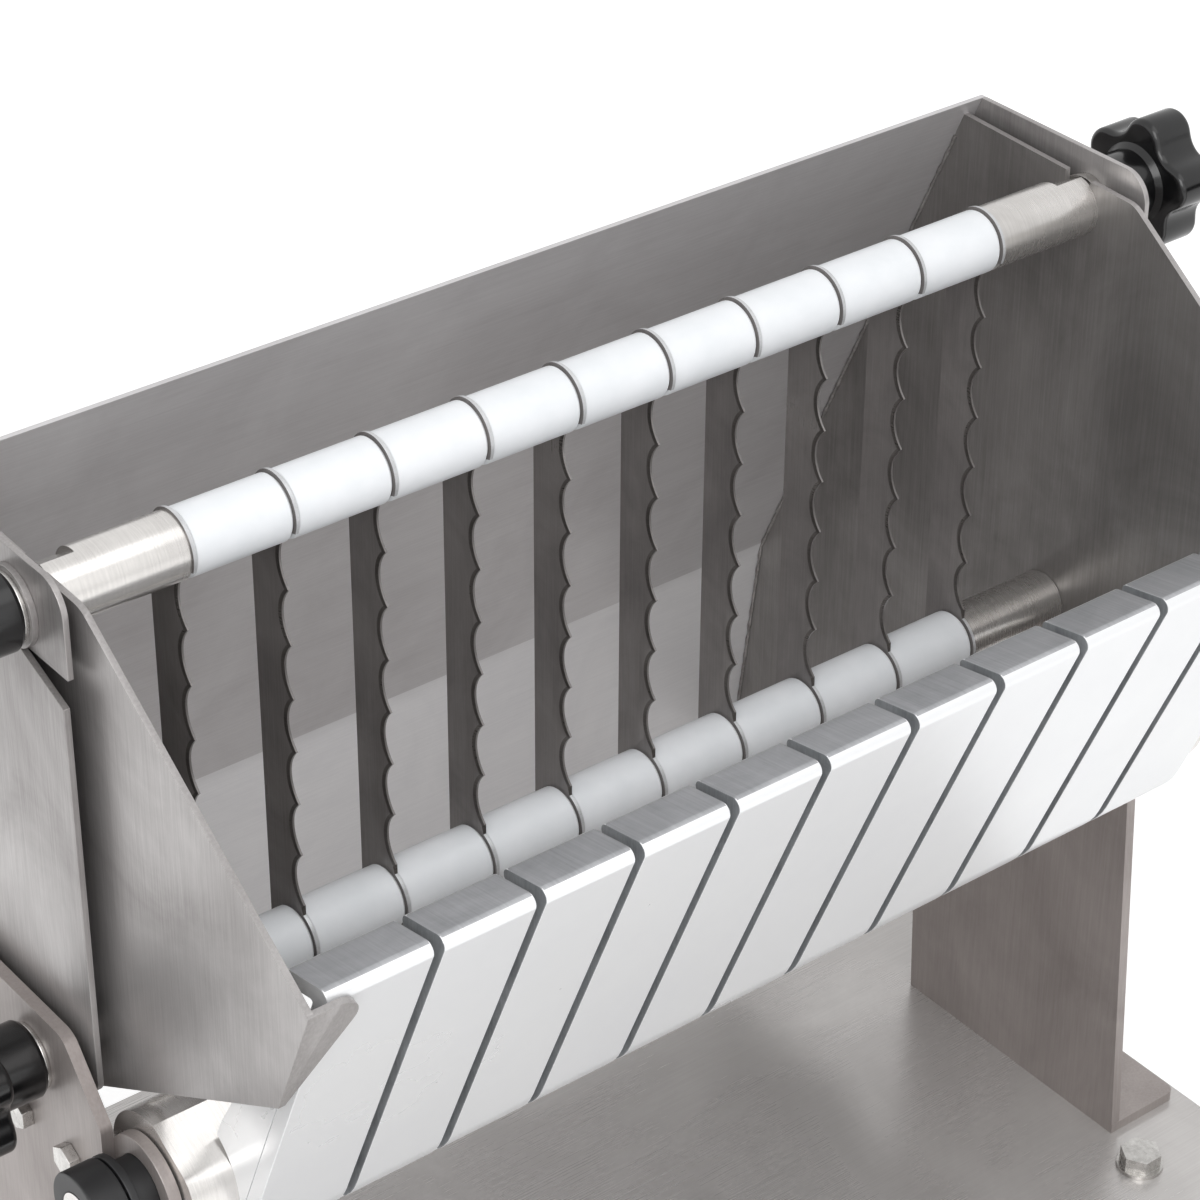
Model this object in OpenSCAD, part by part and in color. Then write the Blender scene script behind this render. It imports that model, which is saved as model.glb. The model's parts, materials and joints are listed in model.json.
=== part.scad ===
/* [Blade set] */
// Thickness of one slice, which is the pitch of the blades
slice_w = 25; // [18:1:30]
// Thickness of a blade
blade_t = 0.8; // [0.6:0.1:1.2]
// Points of the cutting edge in front of the rod axis
blade_front = 3.3; // [2.5:0.1:5]
// Straight back edge behind the rod axis
blade_back = 10; // [7:0.5:14]
// Radius of a blade's round head
blade_head_r = 8.3; // [8.1:0.1:9]
// Pitch of the scallops along the cutting edge
scallop_pitch = 13.9; // [10:0.1:14]
// Depth of a scallop
scallop_depth = 3; // [1.5:0.1:4]
// First point of the cutting edge below the upper rod's axis
scallop_start = 5.5; // [4:0.5:8]

/* [Rods and spacers] */
// Distance between the two rods
rod_drop = 113; // [105:1:125]
// Radius of a rod and of its thread
rod_r = 4; // [3:0.5:5]
// Outer radius of the spacers and end sleeves
spacer_r = 7.7; // [7:0.1:8.1]
// Length of a steel sleeve between the last blade and the side wall
sleeve_len = 31.1; // [28:0.1:45]
// Length of the flat milled on an upper sleeve next to the wall
sleeve_flat_len = 8; // [4:0.5:14]
// Depth of that flat
sleeve_flat_depth = 1.6; // [0.8:0.1:2.4]
// Depth of the rod in a knob's blind bore, past the hub
rod_grip = 7; // [5:0.5:9]

/* [Side walls and hood] */
// Sheet thickness of the side walls, wings, outer plates and hood
sheet_t = 1.5; // [1:0.1:2]
// Height of the side wall's top edge over the upper rod's axis, at the back
wall_top = 8.8; // [7:0.2:10]
// The same at the front
wall_nose_z = 7; // [6:0.2:8]
// Place of that front point in front of the rod axis
wall_nose_y = 18.8; // [16:0.2:24]
// Edge of the side wall below the lower rod's axis
wall_low = 12; // [9:0.5:14]
// Gap between a side wall and the wing outside it
wing_gap = 2.5; // [2:0.1:4]
// Height of the hood's top edge over the upper rod's axis
hood_top = 12.8; // [11:0.2:16]
// Top edge of the hood behind the rod axis
hood_back = 38.5; // [34:0.5:50]
// Lean of the hood's upper part from the vertical, in degrees
hood_lean = 23.9; // [20:0.1:28]
// Bend of the hood below its top edge
hood_bend = 164.8; // [150:0.2:175]
// Inner radius of that bend
hood_bend_r = 25; // [10:1:40]
// Lean of the hood's lower part from the vertical, in degrees
hood_lean_low = 7.6; // [0:0.2:12]
// Room between the base and the lower ends of the hood and the side walls
hood_clear = 46; // [25:1:60]
// Width of a side wall's lower end
wall_tail = 60; // [40:5:80]
// Front edge of the wing in front of the rod axis
wing_front = 18.8; // [16:0.2:24]
// Lower end of the wing's front edge below the rod axis
wing_low = 8.8; // [8:0.2:12]
// Width of the wing's strip along the hood
wing_strip = 34; // [20:1:45]
// Front edge of the outer plate in front of the rod axis
outer_front = 18.8; // [16:0.2:20]
// Upper end of that edge below the upper rod's axis
outer_shoulder = 15; // [14:0.5:22]
// Back edge of the outer plate behind the rod axis
outer_back = 60; // [45:1:70]
// Upper end of that back edge above the lower rod's axis
outer_rise = 38; // [30:1:60]

/* [Jaw] */
// Jaw axis in front of the rod axis
axis_front = 37.5; // [36:0.5:42]
// Jaw axis below the lower rod's axis
axis_below = 13.2; // [12:0.2:16]
// Radius of the drum that carries the jaw plate
drum_r = 16.5; // [14:0.5:17]
// Thickness of the slotted jaw plate
jaw_t = 4; // [3:0.1:4.5]
// Lean of the jaw plate's front from the vertical, in degrees
jaw_lean = 22.3; // [20:0.1:25]
// Height of the outer corner of the bend over the jaw axis, along the plate
jaw_reach = 95.5; // [90:0.5:100]
// Outer radius of the bend
bend_out = 2.2; // [1.5:0.1:4]
// Inner radius of the bend
bend_r = 0.5; // [0.3:0.1:1.5]
// Angle between the plate's front and its folded tongue
tongue_angle = 57; // [50:0.5:65]
// Length of the tongue from the outer corner
tongue_len = 16.5; // [14:0.5:20]
// Gap between the jaw's end and a side wall
jaw_side_gap = 5; // [3:0.5:8]
// Width of a slot for a blade
slot_w = 2.4; // [1.8:0.1:3]
// End of the slots below the jaw axis, along the plate
slot_low = 9; // [4:0.5:12]
// Thickness of a cheek plate at the jaw's end
cheek_t = 2; // [1.5:0.5:4]
// Height of a cheek over the jaw axis
cheek_h = 62; // [45:1:70]
// Depth of the flat milled on the drum
drum_flat = 1.6; // [0.8:0.1:2.4]
// Radius of the drum's journals
journal_r = 6; // [5:0.5:6.5]
// Running clearance of every journal, spindle and thread
run_gap = 0.05; // [0.02:0.01:0.08]
// Gap between the resting jaw and its stops
stop_gap = 0.8; // [0.5:0.1:1.5]
// Reach of a stop inwards at its top
stop_w = 16; // [10:0.5:18]
// Top of the stops over the jaw axis, along the jaw plate
stop_top = 95; // [90:0.5:100]
// Lower end of the stops over the jaw axis
stop_low = 62; // [50:1:70]

/* [Bearings and crank] */
// Thickness of a bearing block
block_t = 3; // [2.5:0.5:3]
// Radius of the block's round end
block_r = 12.5; // [11:0.5:14]
// Outer radius of a plastic bush
bush_r = 8; // [7.5:0.5:9]
// Length of a bush
bush_len = 10; // [8:0.5:14]
// Radius of the bush flange, shaft collar and crank spacer
flange_r = 10.5; // [9.5:0.5:12]
// Thickness of the bush flange
flange_t = 2; // [1.5:0.5:3]
// Length of the shaft collar
collar_len = 8; // [6:0.5:10]
// Inner face of the crank arm outside the outer face of the leg
crank_off = 28; // [27:0.5:36]
// Length of the crank arm between centres
crank_len = 140; // [110:1:142]
// Thickness of the crank arm
crank_t = 6; // [5:0.5:8]
// Width of the crank arm
crank_w = 24; // [20:1:30]
// Length of the revolving grip
grip_len = 92; // [80:1:110]
// Largest radius of the grip
grip_r = 14; // [12:0.5:16]
// Radius of the grip's spindle
spindle_r = 5; // [4:0.5:6]

/* [Legs and base] */
// Thickness of a leg and of its foot
leg_t = 3; // [2.5:0.5:4]
// Gap between the outer plate and the leg
leg_gap = 2; // [2:0.5:3]
// Front edge of a leg at its top, in front of the rod axis
leg_front = 27.4; // [26:0.2:28]
// The same at the base
leg_front_low = 35; // [30:1:45]
// Back edge of a leg behind the rod axis, at its top
leg_back = 54; // [50:1:65]
// The same at the base
leg_back_low = 48; // [45:1:60]
// Width of a leg's foot
foot_w = 22; // [18:1:25]
// Top face of the base below the upper rod's axis
deck_drop = 276; // [240:1:300]
// Edge of the base beyond a leg's foot
base_side = 3; // [2:0.5:10]
// Depth of the base plate
base_d = 290; // [286:1:300]
// Thickness of the base plate
base_t = 3; // [2:0.5:5]
// Corner radius of the base plate
base_r = 5; // [2:1:15]
// Height of a rubber foot
foot_h = 15; // [10:1:20]
// Radius of a rubber foot
foot_r = 16; // [12:1:18]
// Distance of the rubber feet from the base's side edges
foot_in = 31; // [25:1:40]
// Distance of the front rubber feet in front of the rod axis
foot_front = 49; // [49:1:90]
// Distance of the back rubber feet from the base's back edge
foot_back_in = 25; // [20:1:40]

/* [Knobs] */
// Outer radius of a star knob
knob_r = 17; // [15:0.5:17]
// Thickness of the knob's lobes
lobe_h = 12.5; // [9:0.5:13]
// Radius of the knob's hub
hub_r = 9; // [8:0.5:10]
// Length of the knob's hub
hub_h = 11; // [8:0.5:12]
// Thickness of a washer under a knob
washer_t = 1; // [0.8:0.2:1.6]

/* [Hidden] */
$fn = 48;
blade_count = 10;

// Overrun of every cut, gap that any two turning faces keep, and slack of a bolt hole
over = 1;
turn_gap = 0.3;
hole_slack = 0.2;
edge_r = 0.6;
step_turn = 360 / $fn;

// Stack of plates along the rods, from the middle outwards
set_half = ((blade_count - 1) * slice_w + blade_t) / 2;
wall_in = set_half + sleeve_len;
wall_out = wall_in + sheet_t;
wing_in = wall_out + wing_gap;
outer_in = wing_in + sheet_t;
outer_out = outer_in + sheet_t;
leg_in = outer_out + leg_gap;
leg_out = leg_in + leg_t;
base_w = 2 * (leg_out + foot_w + base_side);
foot_x = base_w / 2 - foot_in;
foot_back = base_d / 2 - foot_back_in;
spacer_len = slice_w - blade_t;

// Knobs: upper ones press on the outer plates, lower ones on the legs
upper_hub = outer_out + washer_t + turn_gap;
lower_hub = leg_out + washer_t + turn_gap;
washer_r = hub_r - over;

// Heights of the machine from the upper rod's axis
axis_z = -rod_drop - axis_below;
wall_floor = -rod_drop - wall_low;
hood_bend_z = hood_top - hood_bend;
deck_z = -deck_drop;
floor_z = deck_z - base_t - foot_h;
hood_floor = deck_z + hood_clear;
function hood_y(z) = hood_back + (hood_top - max(z, hood_bend_z)) * tan(hood_lean)
    + max(hood_bend_z - z, 0) * tan(hood_lean_low);

// Jaw in its own frame, upright at the jaw axis
jaw_in = drum_r + run_gap;
drum_out = jaw_in + jaw_t;
jaw_half = wall_in - jaw_side_gap;
drum_half = leg_in - block_t - turn_gap;
wrap_steps = 15;
stop_in = -drum_out - stop_gap;
stop_out = stop_in - sheet_t;
tongue_dir = tongue_angle - 90;
end_r = jaw_t * 0.45;
function on_tongue(along, depth) = [-drum_out + along * cos(tongue_dir) + depth * sin(tongue_dir),
    jaw_reach + along * sin(tongue_dir) - depth * cos(tongue_dir)];
function wrap(r, steps) = [for (k = steps) let (w = 180 + k * step_turn) [r * cos(w), r * sin(w), 0]];
flat_turn = -7;
strip_turn = 21;
strip_depth = drum_flat * 0.4;
sleeve_flat_turn = -30;

// Crank and grip along the shaft
block_in = leg_in - block_t;
bush_end = block_in + bush_len;
crank_in = leg_out + crank_off;
crank_out = crank_in + crank_t;
grip_in = crank_out + flange_t;
grip_out = grip_in + grip_len;
cap_h = 6;
cap_r = 8;
reach_right = grip_out + turn_gap + cap_h;
reach_left = base_w / 2;
origin_x = (reach_right - reach_left) / 2;

// Small fasteners: across flats, head height, shank radius
bolt_af = 10;
bolt_head = 4;
bolt_r = 3;
bolt_washer_r = 6.5;
bolt_washer_t = 1.2;
screw_af = 7;
screw_head = 2.8;
screw_r = 2;

function unit(v) = v / norm(v);
function round_corner(a, b, c, r) = r == 0 ? [b] :
    let (u = unit(a - b), v = unit(c - b), half = acos(u * v) / 2,
         mid = b + unit(u + v) * r / sin(half), p = b + u * r / tan(half) - mid,
         q = b + v * r / tan(half) - mid, a0 = atan2(p.y, p.x), a1 = atan2(q.y, q.x),
         turn = a1 - a0 > 180 ? a1 - a0 - 360 : a1 - a0 < -180 ? a1 - a0 + 360 : a1 - a0,
         steps = max(2, ceil(abs(turn) / step_turn)))
    [for (k = [0:steps]) let (w = a0 + turn * k / steps) mid + r * [cos(w), sin(w)]];
// Outline from points [y, z, corner radius]
function outline(p) = let (n = len(p)) [for (i = [0:n - 1]) let (
    a = p[(i + n - 1) % n], b = p[i], c = p[(i + 1) % n])
    each round_corner([a.x, a.y], [b.x, b.y], [c.x, c.y], b[2])];

// Placing helpers
module machine() { translate([-origin_x, 0, -floor_z]) children(); }
module on_side(s) { if (s > 0) children(); else mirror([1, 0, 0]) children(); }
module along_x(x0, len) { translate([x0, 0, 0]) rotate([90, 0, 90]) linear_extrude(len) children(); }
module rod_x(x0, len, r, y = 0, z = 0) { translate([x0, y, z]) rotate([0, 90, 0]) cylinder(h = len, r = r); }
module tube_x(x0, len, r, bore, y = 0, z = 0) {
    difference() {
        rod_x(x0, len, r, y, z);
        rod_x(x0 - over, len + 2 * over, bore, y, z);
    }
}
module at_axis() { translate([0, -axis_front, axis_z]) children(); }
module jaw_frame() { at_axis() rotate([jaw_lean, 0, 0]) children(); }
function from_jaw(y, z) = [-axis_front + y * cos(jaw_lean) - z * sin(jaw_lean),
    axis_z + y * sin(jaw_lean) + z * cos(jaw_lean)];
module hex_bolt(af, head, r, shank) {
    cylinder(h = head, r = af / 2 / cos(30), $fn = 6);
    translate([0, 0, -shank]) cylinder(h = shank + head / 2, r = r);
}

// Base, feet and legs
module base_plate() {
    w = base_w / 2;
    d = base_d / 2;
    color("silver") machine() difference() {
        translate([0, 0, deck_z - base_t]) linear_extrude(base_t)
            polygon(outline([[-w, -d, base_r], [w, -d, base_r], [w, d, base_r], [-w, d, base_r]]));
        foot_places() translate([0, 0, -base_t - over]) cylinder(h = base_t + 2 * over, r = bolt_r);
        for (s = [-1, 1]) on_side(s) leg_bolt_places()
            translate([0, 0, -base_t - over]) cylinder(h = base_t + 2 * over, r = bolt_r);
    }
}
module foot_places() {
    for (s = [-1, 1], y = [-foot_front, foot_back]) translate([s * foot_x, y, deck_z]) children();
}
module rubber_feet() {
    taper = foot_r / 8;
    color("black") machine() foot_places() translate([0, 0, -base_t - foot_h]) difference() {
        rotate_extrude() polygon([[0, 0], [foot_r - taper, 0], [foot_r, foot_h], [0, foot_h]]);
        translate([0, 0, foot_h / 3]) cylinder(h = foot_h, r = bolt_r);
    }
}
module foot_bolts() {
    color("silver") machine() foot_places() {
        translate([0, 0, bolt_washer_t]) hex_bolt(bolt_af, bolt_head, bolt_r, foot_h / 2);
        cylinder(h = bolt_washer_t, r = bolt_washer_r);
    }
}
leg_bolt_y_share = [0.4, 0.85];
module leg_bolt_places() {
    for (k = leg_bolt_y_share) translate([leg_out + foot_w / 2,
        -leg_front_low + k * (leg_back_low + leg_front_low), deck_z]) children();
}
module leg_bolts() {
    color("silver") machine() for (s = [-1, 1]) on_side(s) leg_bolt_places()
        translate([0, 0, leg_t]) hex_bolt(bolt_af, bolt_head, bolt_r, leg_t + base_t);
}
leg_head_r = 14;
leg_shoulder = 6;
leg_screw_y = 38;
leg_screw_z = -rod_drop + 3;
module leg_plate() {
    top = -rod_drop + leg_head_r;
    difference() {
        union() {
            along_x(leg_in, leg_t) difference() {
                polygon(outline([[-leg_front_low, deck_z, 0], [leg_back_low, deck_z, 0],
                    [leg_back, axis_z - block_r, leg_head_r], [leg_screw_y + leg_head_r, top, leg_head_r],
                    [-leg_head_r, top, leg_shoulder],
                    [-leg_front, -rod_drop - leg_shoulder / 2, leg_shoulder / 2],
                    [-leg_front, axis_z - 2 * block_r, leg_shoulder]]));
                translate([0, -rod_drop]) circle(r = rod_r + hole_slack);
                translate([leg_screw_y, leg_screw_z]) circle(r = screw_r + hole_slack);
                for (p = block_screw_at) translate(p) circle(r = screw_r);
            }
            translate([leg_in, 0, deck_z]) linear_extrude(leg_t) polygon(outline([
                [0, -leg_front_low, 0], [leg_t + foot_w, -leg_front_low, leg_t],
                [leg_t + foot_w, leg_back_low, leg_t], [0, leg_back_low, 0]]));
        }
        leg_bolt_places() translate([0, 0, -over]) cylinder(h = leg_t + 2 * over, r = bolt_r);
    }
}
module left_leg() { color("gainsboro") machine() on_side(-1) leg_plate(); }
module right_leg() { color("gainsboro") machine() on_side(1) leg_plate(); }

// Side walls with their folded stops
wall_corner = from_jaw(stop_out, stop_top);
wall_fold = from_jaw(stop_out, stop_low);
wall_chin_share = 0.6;
module side_wall() {
    back = hood_y(hood_floor);
    difference() {
        union() {
            along_x(wall_in, sheet_t) polygon(outline([
                [hood_y(wall_top), wall_top, 0], [-wall_nose_y, wall_nose_z, wall_nose_z],
                [wall_corner.x, wall_corner.y, sheet_t], [wall_fold.x, wall_fold.y, 0],
                [-wall_low * wall_chin_share, wall_floor + wall_low / 4, wall_low / 3],
                [wall_low / 2, wall_floor, wall_low], [back - wall_tail, hood_floor, wall_low],
                [back, hood_floor, 0], [hood_y(hood_bend_z), hood_bend_z, hood_bend_r]]));
            jaw_frame() translate([0, stop_in, 0]) rotate([90, 0, 0]) linear_extrude(sheet_t)
                polygon(outline([[wall_out, stop_top, 0], [wall_out - stop_w, stop_top, 4 * sheet_t],
                    [wall_in, stop_low, 0], [wall_out, stop_low, 0]]));
        }
        rod_x(wall_in - over, sheet_t + 2 * over, rod_r + hole_slack);
        rod_x(wall_in - over, sheet_t + 2 * over, rod_r + hole_slack, 0, -rod_drop);
        translate([wall_in - over, -rod_r - hole_slack, 0])
            cube([sheet_t + 2 * over, 2 * (rod_r + hole_slack), wall_top + over]);
    }
}
module left_side_wall() { color("darkgray") machine() on_side(-1) side_wall(); }
module right_side_wall() { color("darkgray") machine() on_side(1) side_wall(); }

// Hood behind the blades: wings and rear sheet
module wing() {
    difference() {
        along_x(wing_in, sheet_t) polygon(outline([
            [hood_back, hood_top, 0], [-wing_front, hood_top, spacer_r],
            [-wing_front, -wing_low, 0], [hood_y(-wing_low) - wing_strip, -wing_low, wing_strip / 4],
            [hood_y(wall_floor) - wing_strip, wall_floor, 0], [hood_y(wall_floor), wall_floor, 0]]));
        rod_x(wing_in - over, sheet_t + 2 * over, rod_r + hole_slack);
    }
}
module left_wing() { color("silver") machine() on_side(-1) wing(); }
module right_wing() { color("silver") machine() on_side(1) wing(); }
module rear_hood() {
    mean = (hood_lean + hood_lean_low) / 2;
    miter = sheet_t / cos(hood_lean - mean);
    bend_at = hood_y(hood_bend_z);
    back = hood_y(hood_floor);
    color("gray") machine() along_x(-outer_in, 2 * outer_in) polygon(outline([
        [hood_back, hood_top, 0], [bend_at, hood_bend_z, hood_bend_r], [back, hood_floor, 0],
        [back + sheet_t / cos(hood_lean_low), hood_floor, 0],
        [bend_at + miter * cos(mean), hood_bend_z + miter * sin(mean), hood_bend_r + sheet_t],
        [hood_back + sheet_t / cos(hood_lean), hood_top, 0]]));
}

// Outer plates, clamped under the knobs
module outer_plate() {
    low = wall_floor + wall_low / 4;
    nose = outer_front - wall_low;
    difference() {
        along_x(outer_in, sheet_t) union() {
            polygon(outline([[-outer_front, -outer_shoulder, 0], [-outer_front, -rod_drop, hub_r / 2],
                [-nose, low, hub_r / 2], [outer_back, low, hub_r],
                [outer_back, -rod_drop + outer_rise, hub_r],
                [wing_strip - hub_r, hub_r - 2 * washer_t, hub_r], [-rod_r, -hub_r, 0]]));
            circle(r = hub_r);
        }
        rod_x(outer_in - over, sheet_t + 2 * over, rod_r + hole_slack);
        rod_x(outer_in - over, sheet_t + 2 * over, rod_r + hole_slack, 0, -rod_drop);
        rod_x(outer_in - over, sheet_t + 2 * over, screw_r + hole_slack, leg_screw_y, leg_screw_z);
    }
}
module left_outer_plate() { color("lightgray") machine() on_side(-1) outer_plate(); }
module right_outer_plate() { color("lightgray") machine() on_side(1) outer_plate(); }

// Rings that keep the plates apart on the rods and the side screws
ring_r = 7;
module plate_rings() {
    color("silver") machine() for (s = [-1, 1]) on_side(s) {
        tube_x(wall_out, wing_gap, ring_r, rod_r + run_gap);
        tube_x(wall_out, outer_in - wall_out, ring_r, rod_r + run_gap, 0, -rod_drop);
        tube_x(outer_out, leg_gap, ring_r, rod_r + run_gap, 0, -rod_drop);
        tube_x(outer_out, leg_gap, ring_r, screw_r + run_gap, leg_screw_y, leg_screw_z);
    }
}
module side_screws() {
    color("silver") machine() for (s = [-1, 1]) on_side(s)
        translate([leg_out, leg_screw_y, leg_screw_z]) rotate([0, 90, 0])
            hex_bolt(screw_af, screw_head, screw_r, leg_out - outer_in);
}

// Rods, sleeves, spacers and blades
module rod(half, z) {
    color("silver") machine() rod_x(-half, 2 * half, rod_r, 0, z);
}
module upper_rod() { rod(upper_hub + hub_h + rod_grip, 0); }
module lower_rod() { rod(lower_hub + hub_h + rod_grip, -rod_drop); }
module sleeve(s, z, flat) {
    color("white") machine() on_side(s) difference() {
        tube_x(set_half, sleeve_len, spacer_r, rod_r + run_gap, 0, z);
        if (flat) translate([wall_in - sleeve_flat_len, 0, z]) rotate([sleeve_flat_turn, 0, 0])
            translate([0, -spacer_r - over, spacer_r - sleeve_flat_depth])
                cube([sleeve_flat_len + over, 2 * (spacer_r + over), spacer_r]);
    }
}
module upper_left_sleeve() { sleeve(-1, 0, true); }
module upper_right_sleeve() { sleeve(1, 0, true); }
module lower_left_sleeve() { sleeve(-1, -rod_drop, false); }
module lower_right_sleeve() { sleeve(1, -rod_drop, false); }
module spacers(z) {
    color("ivory") machine() for (i = [0:blade_count - 2])
        translate([-set_half + blade_t + i * slice_w, 0, z]) rotate([0, 90, 0]) rotate_extrude()
            polygon([[rod_r + run_gap, 0], [spacer_r - edge_r, 0], [spacer_r, edge_r],
                [spacer_r, spacer_len - edge_r], [spacer_r - edge_r, spacer_len],
                [rod_r + run_gap, spacer_len]]);
}
module upper_spacers() { spacers(0); }
module lower_spacers() { spacers(-rod_drop); }
module blade(i) {
    chord = scallop_pitch / 2;
    r = (chord * chord + scallop_depth * scallop_depth) / (2 * scallop_depth);
    count = floor((rod_drop - scallop_start) / scallop_pitch);
    color("dimgray") machine() along_x(-set_half + (i - 1) * slice_w, blade_t) difference() {
        union() {
            translate([0, -rod_drop]) circle(r = blade_head_r);
            circle(r = blade_head_r);
            translate([-blade_front, -rod_drop]) square([blade_front + blade_back, rod_drop]);
        }
        for (k = [0:count - 1]) translate([-blade_front + scallop_depth - r,
            -scallop_start - (k + 0.5) * scallop_pitch]) circle(r = r);
        circle(r = rod_r + run_gap);
        translate([0, -rod_drop]) circle(r = rod_r + run_gap);
    }
}

// Bearing blocks and bushes of the jaw shaft
block_screw_at = [[-leg_front / 2, axis_z - block_r / 2], [block_r / 2, axis_z - block_r / 2]];
module bearing_block() {
    along_x(block_in, block_t) difference() {
        union() {
            translate([-axis_front, axis_z]) circle(r = block_r);
            polygon(outline([[-axis_front, axis_z - block_r, 0], [block_r, axis_z - block_r, hub_r / 2],
                [block_r, axis_z + over, hub_r / 4], [-outer_front, axis_z + over, 0],
                [-axis_front, axis_z + block_r, 0]]));
        }
        translate([-axis_front, axis_z]) circle(r = bush_r);
        for (p = block_screw_at) translate(p) circle(r = screw_r);
    }
}
module left_bearing_block() { color("lightgray") machine() on_side(-1) bearing_block(); }
module right_bearing_block() { color("lightgray") machine() on_side(1) bearing_block(); }
module bush() {
    at_axis() difference() {
        union() {
            rod_x(block_in, bush_len, bush_r);
            rod_x(bush_end - flange_t, flange_t, flange_r);
        }
        rod_x(block_in - over, bush_len + 2 * over, journal_r + run_gap);
    }
}
module left_bush() { color("black") machine() on_side(-1) bush(); }
module right_bush() { color("black") machine() on_side(1) bush(); }
module block_screws() {
    color("silver") machine() for (s = [-1, 1], p = block_screw_at) on_side(s)
        translate([leg_out, p.x, p.y]) rotate([0, 90, 0])
            hex_bolt(screw_af, screw_head, screw_r, leg_t + block_t);
}

// Jaw: slotted plate, drum, cheeks and screws
module jaw_outline() {
    polygon(outline(concat(wrap(drum_out, [wrap_steps:-1:0]), [
        [-drum_out, jaw_reach, bend_out],
        concat(on_tongue(tongue_len, 0), end_r), concat(on_tongue(tongue_len, jaw_t), end_r),
        [-jaw_in, jaw_reach - jaw_t / tan(tongue_angle / 2), bend_r]], wrap(jaw_in, [0:wrap_steps]))));
}
module jaw_plate() {
    deep = 2 * (drum_out + tongue_len);
    color("white") machine() jaw_frame() difference() {
        along_x(-jaw_half, 2 * jaw_half) jaw_outline();
        for (i = [0:blade_count - 1]) translate([-set_half + blade_t / 2 + i * slice_w - slot_w / 2,
            -deep / 2, -slot_low]) cube([slot_w, deep, slot_low + jaw_reach + deep]);
        jaw_screw_places() cylinder(h = 4 * jaw_t, r = screw_r, center = true);
    }
}
jaw_screw_every = 2;
module jaw_screw_places() {
    for (i = [0:jaw_screw_every:blade_count - 2])
        translate([-set_half + blade_t / 2 + (i + 0.5) * slice_w, 0, -drum_out]) children();
}
module jaw_screws() {
    color("silver") machine() jaw_frame() jaw_screw_places()
        rotate([180, 0, 0]) hex_bolt(screw_af, screw_head, screw_r, 2 * jaw_t);
}
module jaw_drum() {
    long = 2 * drum_half;
    right_end = crank_out;
    left_end = bush_end + turn_gap + collar_len;
    color("gainsboro") machine() jaw_frame() {
        difference() {
            rod_x(-drum_half, long, drum_r);
            rotate([-flat_turn, 0, 0]) translate([-drum_half - over, -drum_r, drum_r - drum_flat])
                cube([long + 2 * over, 2 * drum_r, drum_r]);
            rotate([strip_turn, 0, 0]) translate([-drum_half - over, -drum_r, drum_r - strip_depth])
                cube([long + 2 * over, 2 * drum_r, drum_r]);
            jaw_screw_places() cylinder(h = 4 * jaw_t, r = screw_r, center = true);
        }
        rod_x(drum_half, right_end - drum_half, journal_r);
        rod_x(-left_end, left_end - drum_half, journal_r);
    }
}
cheek_back_share = 0.18;
module cheek() {
    back = cheek_back_share * drum_r;
    jaw_frame() along_x(jaw_half - cheek_t, cheek_t) difference() {
        polygon(outline([[-drum_r, 0, 0], [-drum_r, cheek_h, 0], [-drum_r / 2, cheek_h, jaw_t],
            [-back, drum_r + jaw_t, jaw_t], [-back, 0, 0]]));
        circle(r = drum_r);
    }
}
module left_cheek() { color("whitesmoke") machine() on_side(-1) cheek(); }
module right_cheek() { color("whitesmoke") machine() on_side(1) cheek(); }

// Crank on the right end of the shaft
module shaft_collar() {
    color("black") machine() at_axis() tube_x(-bush_end - turn_gap - collar_len, collar_len,
        flange_r, journal_r);
}
module crank_spacer() {
    start = bush_end + turn_gap;
    color("silver") machine() at_axis() tube_x(start, crank_in - start, flange_r, journal_r);
}
module crank_arm() {
    color("silver") machine() jaw_frame() along_x(crank_in, crank_t) difference() {
        union() {
            circle(r = crank_w / 2);
            translate([0, crank_len]) circle(r = crank_w / 2);
            translate([-crank_w / 2, 0]) square([crank_w, crank_len]);
        }
        circle(r = journal_r);
        translate([0, crank_len]) circle(r = spindle_r);
    }
}
module crank_screw() {
    color("silver") machine() at_axis() {
        rod_x(crank_out, bolt_washer_t, flange_r);
        translate([crank_out + bolt_washer_t, 0, 0]) rotate([0, 90, 0])
            hex_bolt(bolt_af, bolt_head, bolt_r, bolt_washer_t);
    }
}
module grip_spindle() {
    color("silver") machine() jaw_frame() {
        rod_x(crank_in, grip_out - crank_in + turn_gap + cap_h / 2, spindle_r, 0, crank_len);
        rod_x(crank_out, flange_t - turn_gap, cap_r, 0, crank_len);
    }
}
module grip_cap() {
    color("silver") machine() jaw_frame() translate([grip_out + turn_gap, 0, crank_len])
        rotate([0, 90, 0]) difference() {
            rotate_extrude() polygon([[0, 0], [cap_r, 0], [cap_r, cap_h / 2],
                [cap_r * 0.7, cap_h * 0.85], [cap_r * 0.35, cap_h], [0, cap_h]]);
            translate([0, 0, -over]) cylinder(h = over + cap_h / 2, r = spindle_r);
        }
}
grip_shares = [[0.74, 0], [0.86, 0.03], [0.86, 0.1], [1, 0.4], [1, 0.6], [0.86, 0.92], [0.78, 0.98], [0.62, 1]];
module crank_grip() {
    color("black") machine() jaw_frame() translate([grip_in, 0, crank_len]) rotate([0, 90, 0])
        difference() {
            rotate_extrude() polygon(concat([[0, 0]],
                [for (g = grip_shares) [g.x * grip_r, g.y * grip_len]], [[0, grip_len]]));
            translate([0, 0, -over]) cylinder(h = grip_len + 2 * over, r = spindle_r + run_gap);
        }
}

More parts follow.
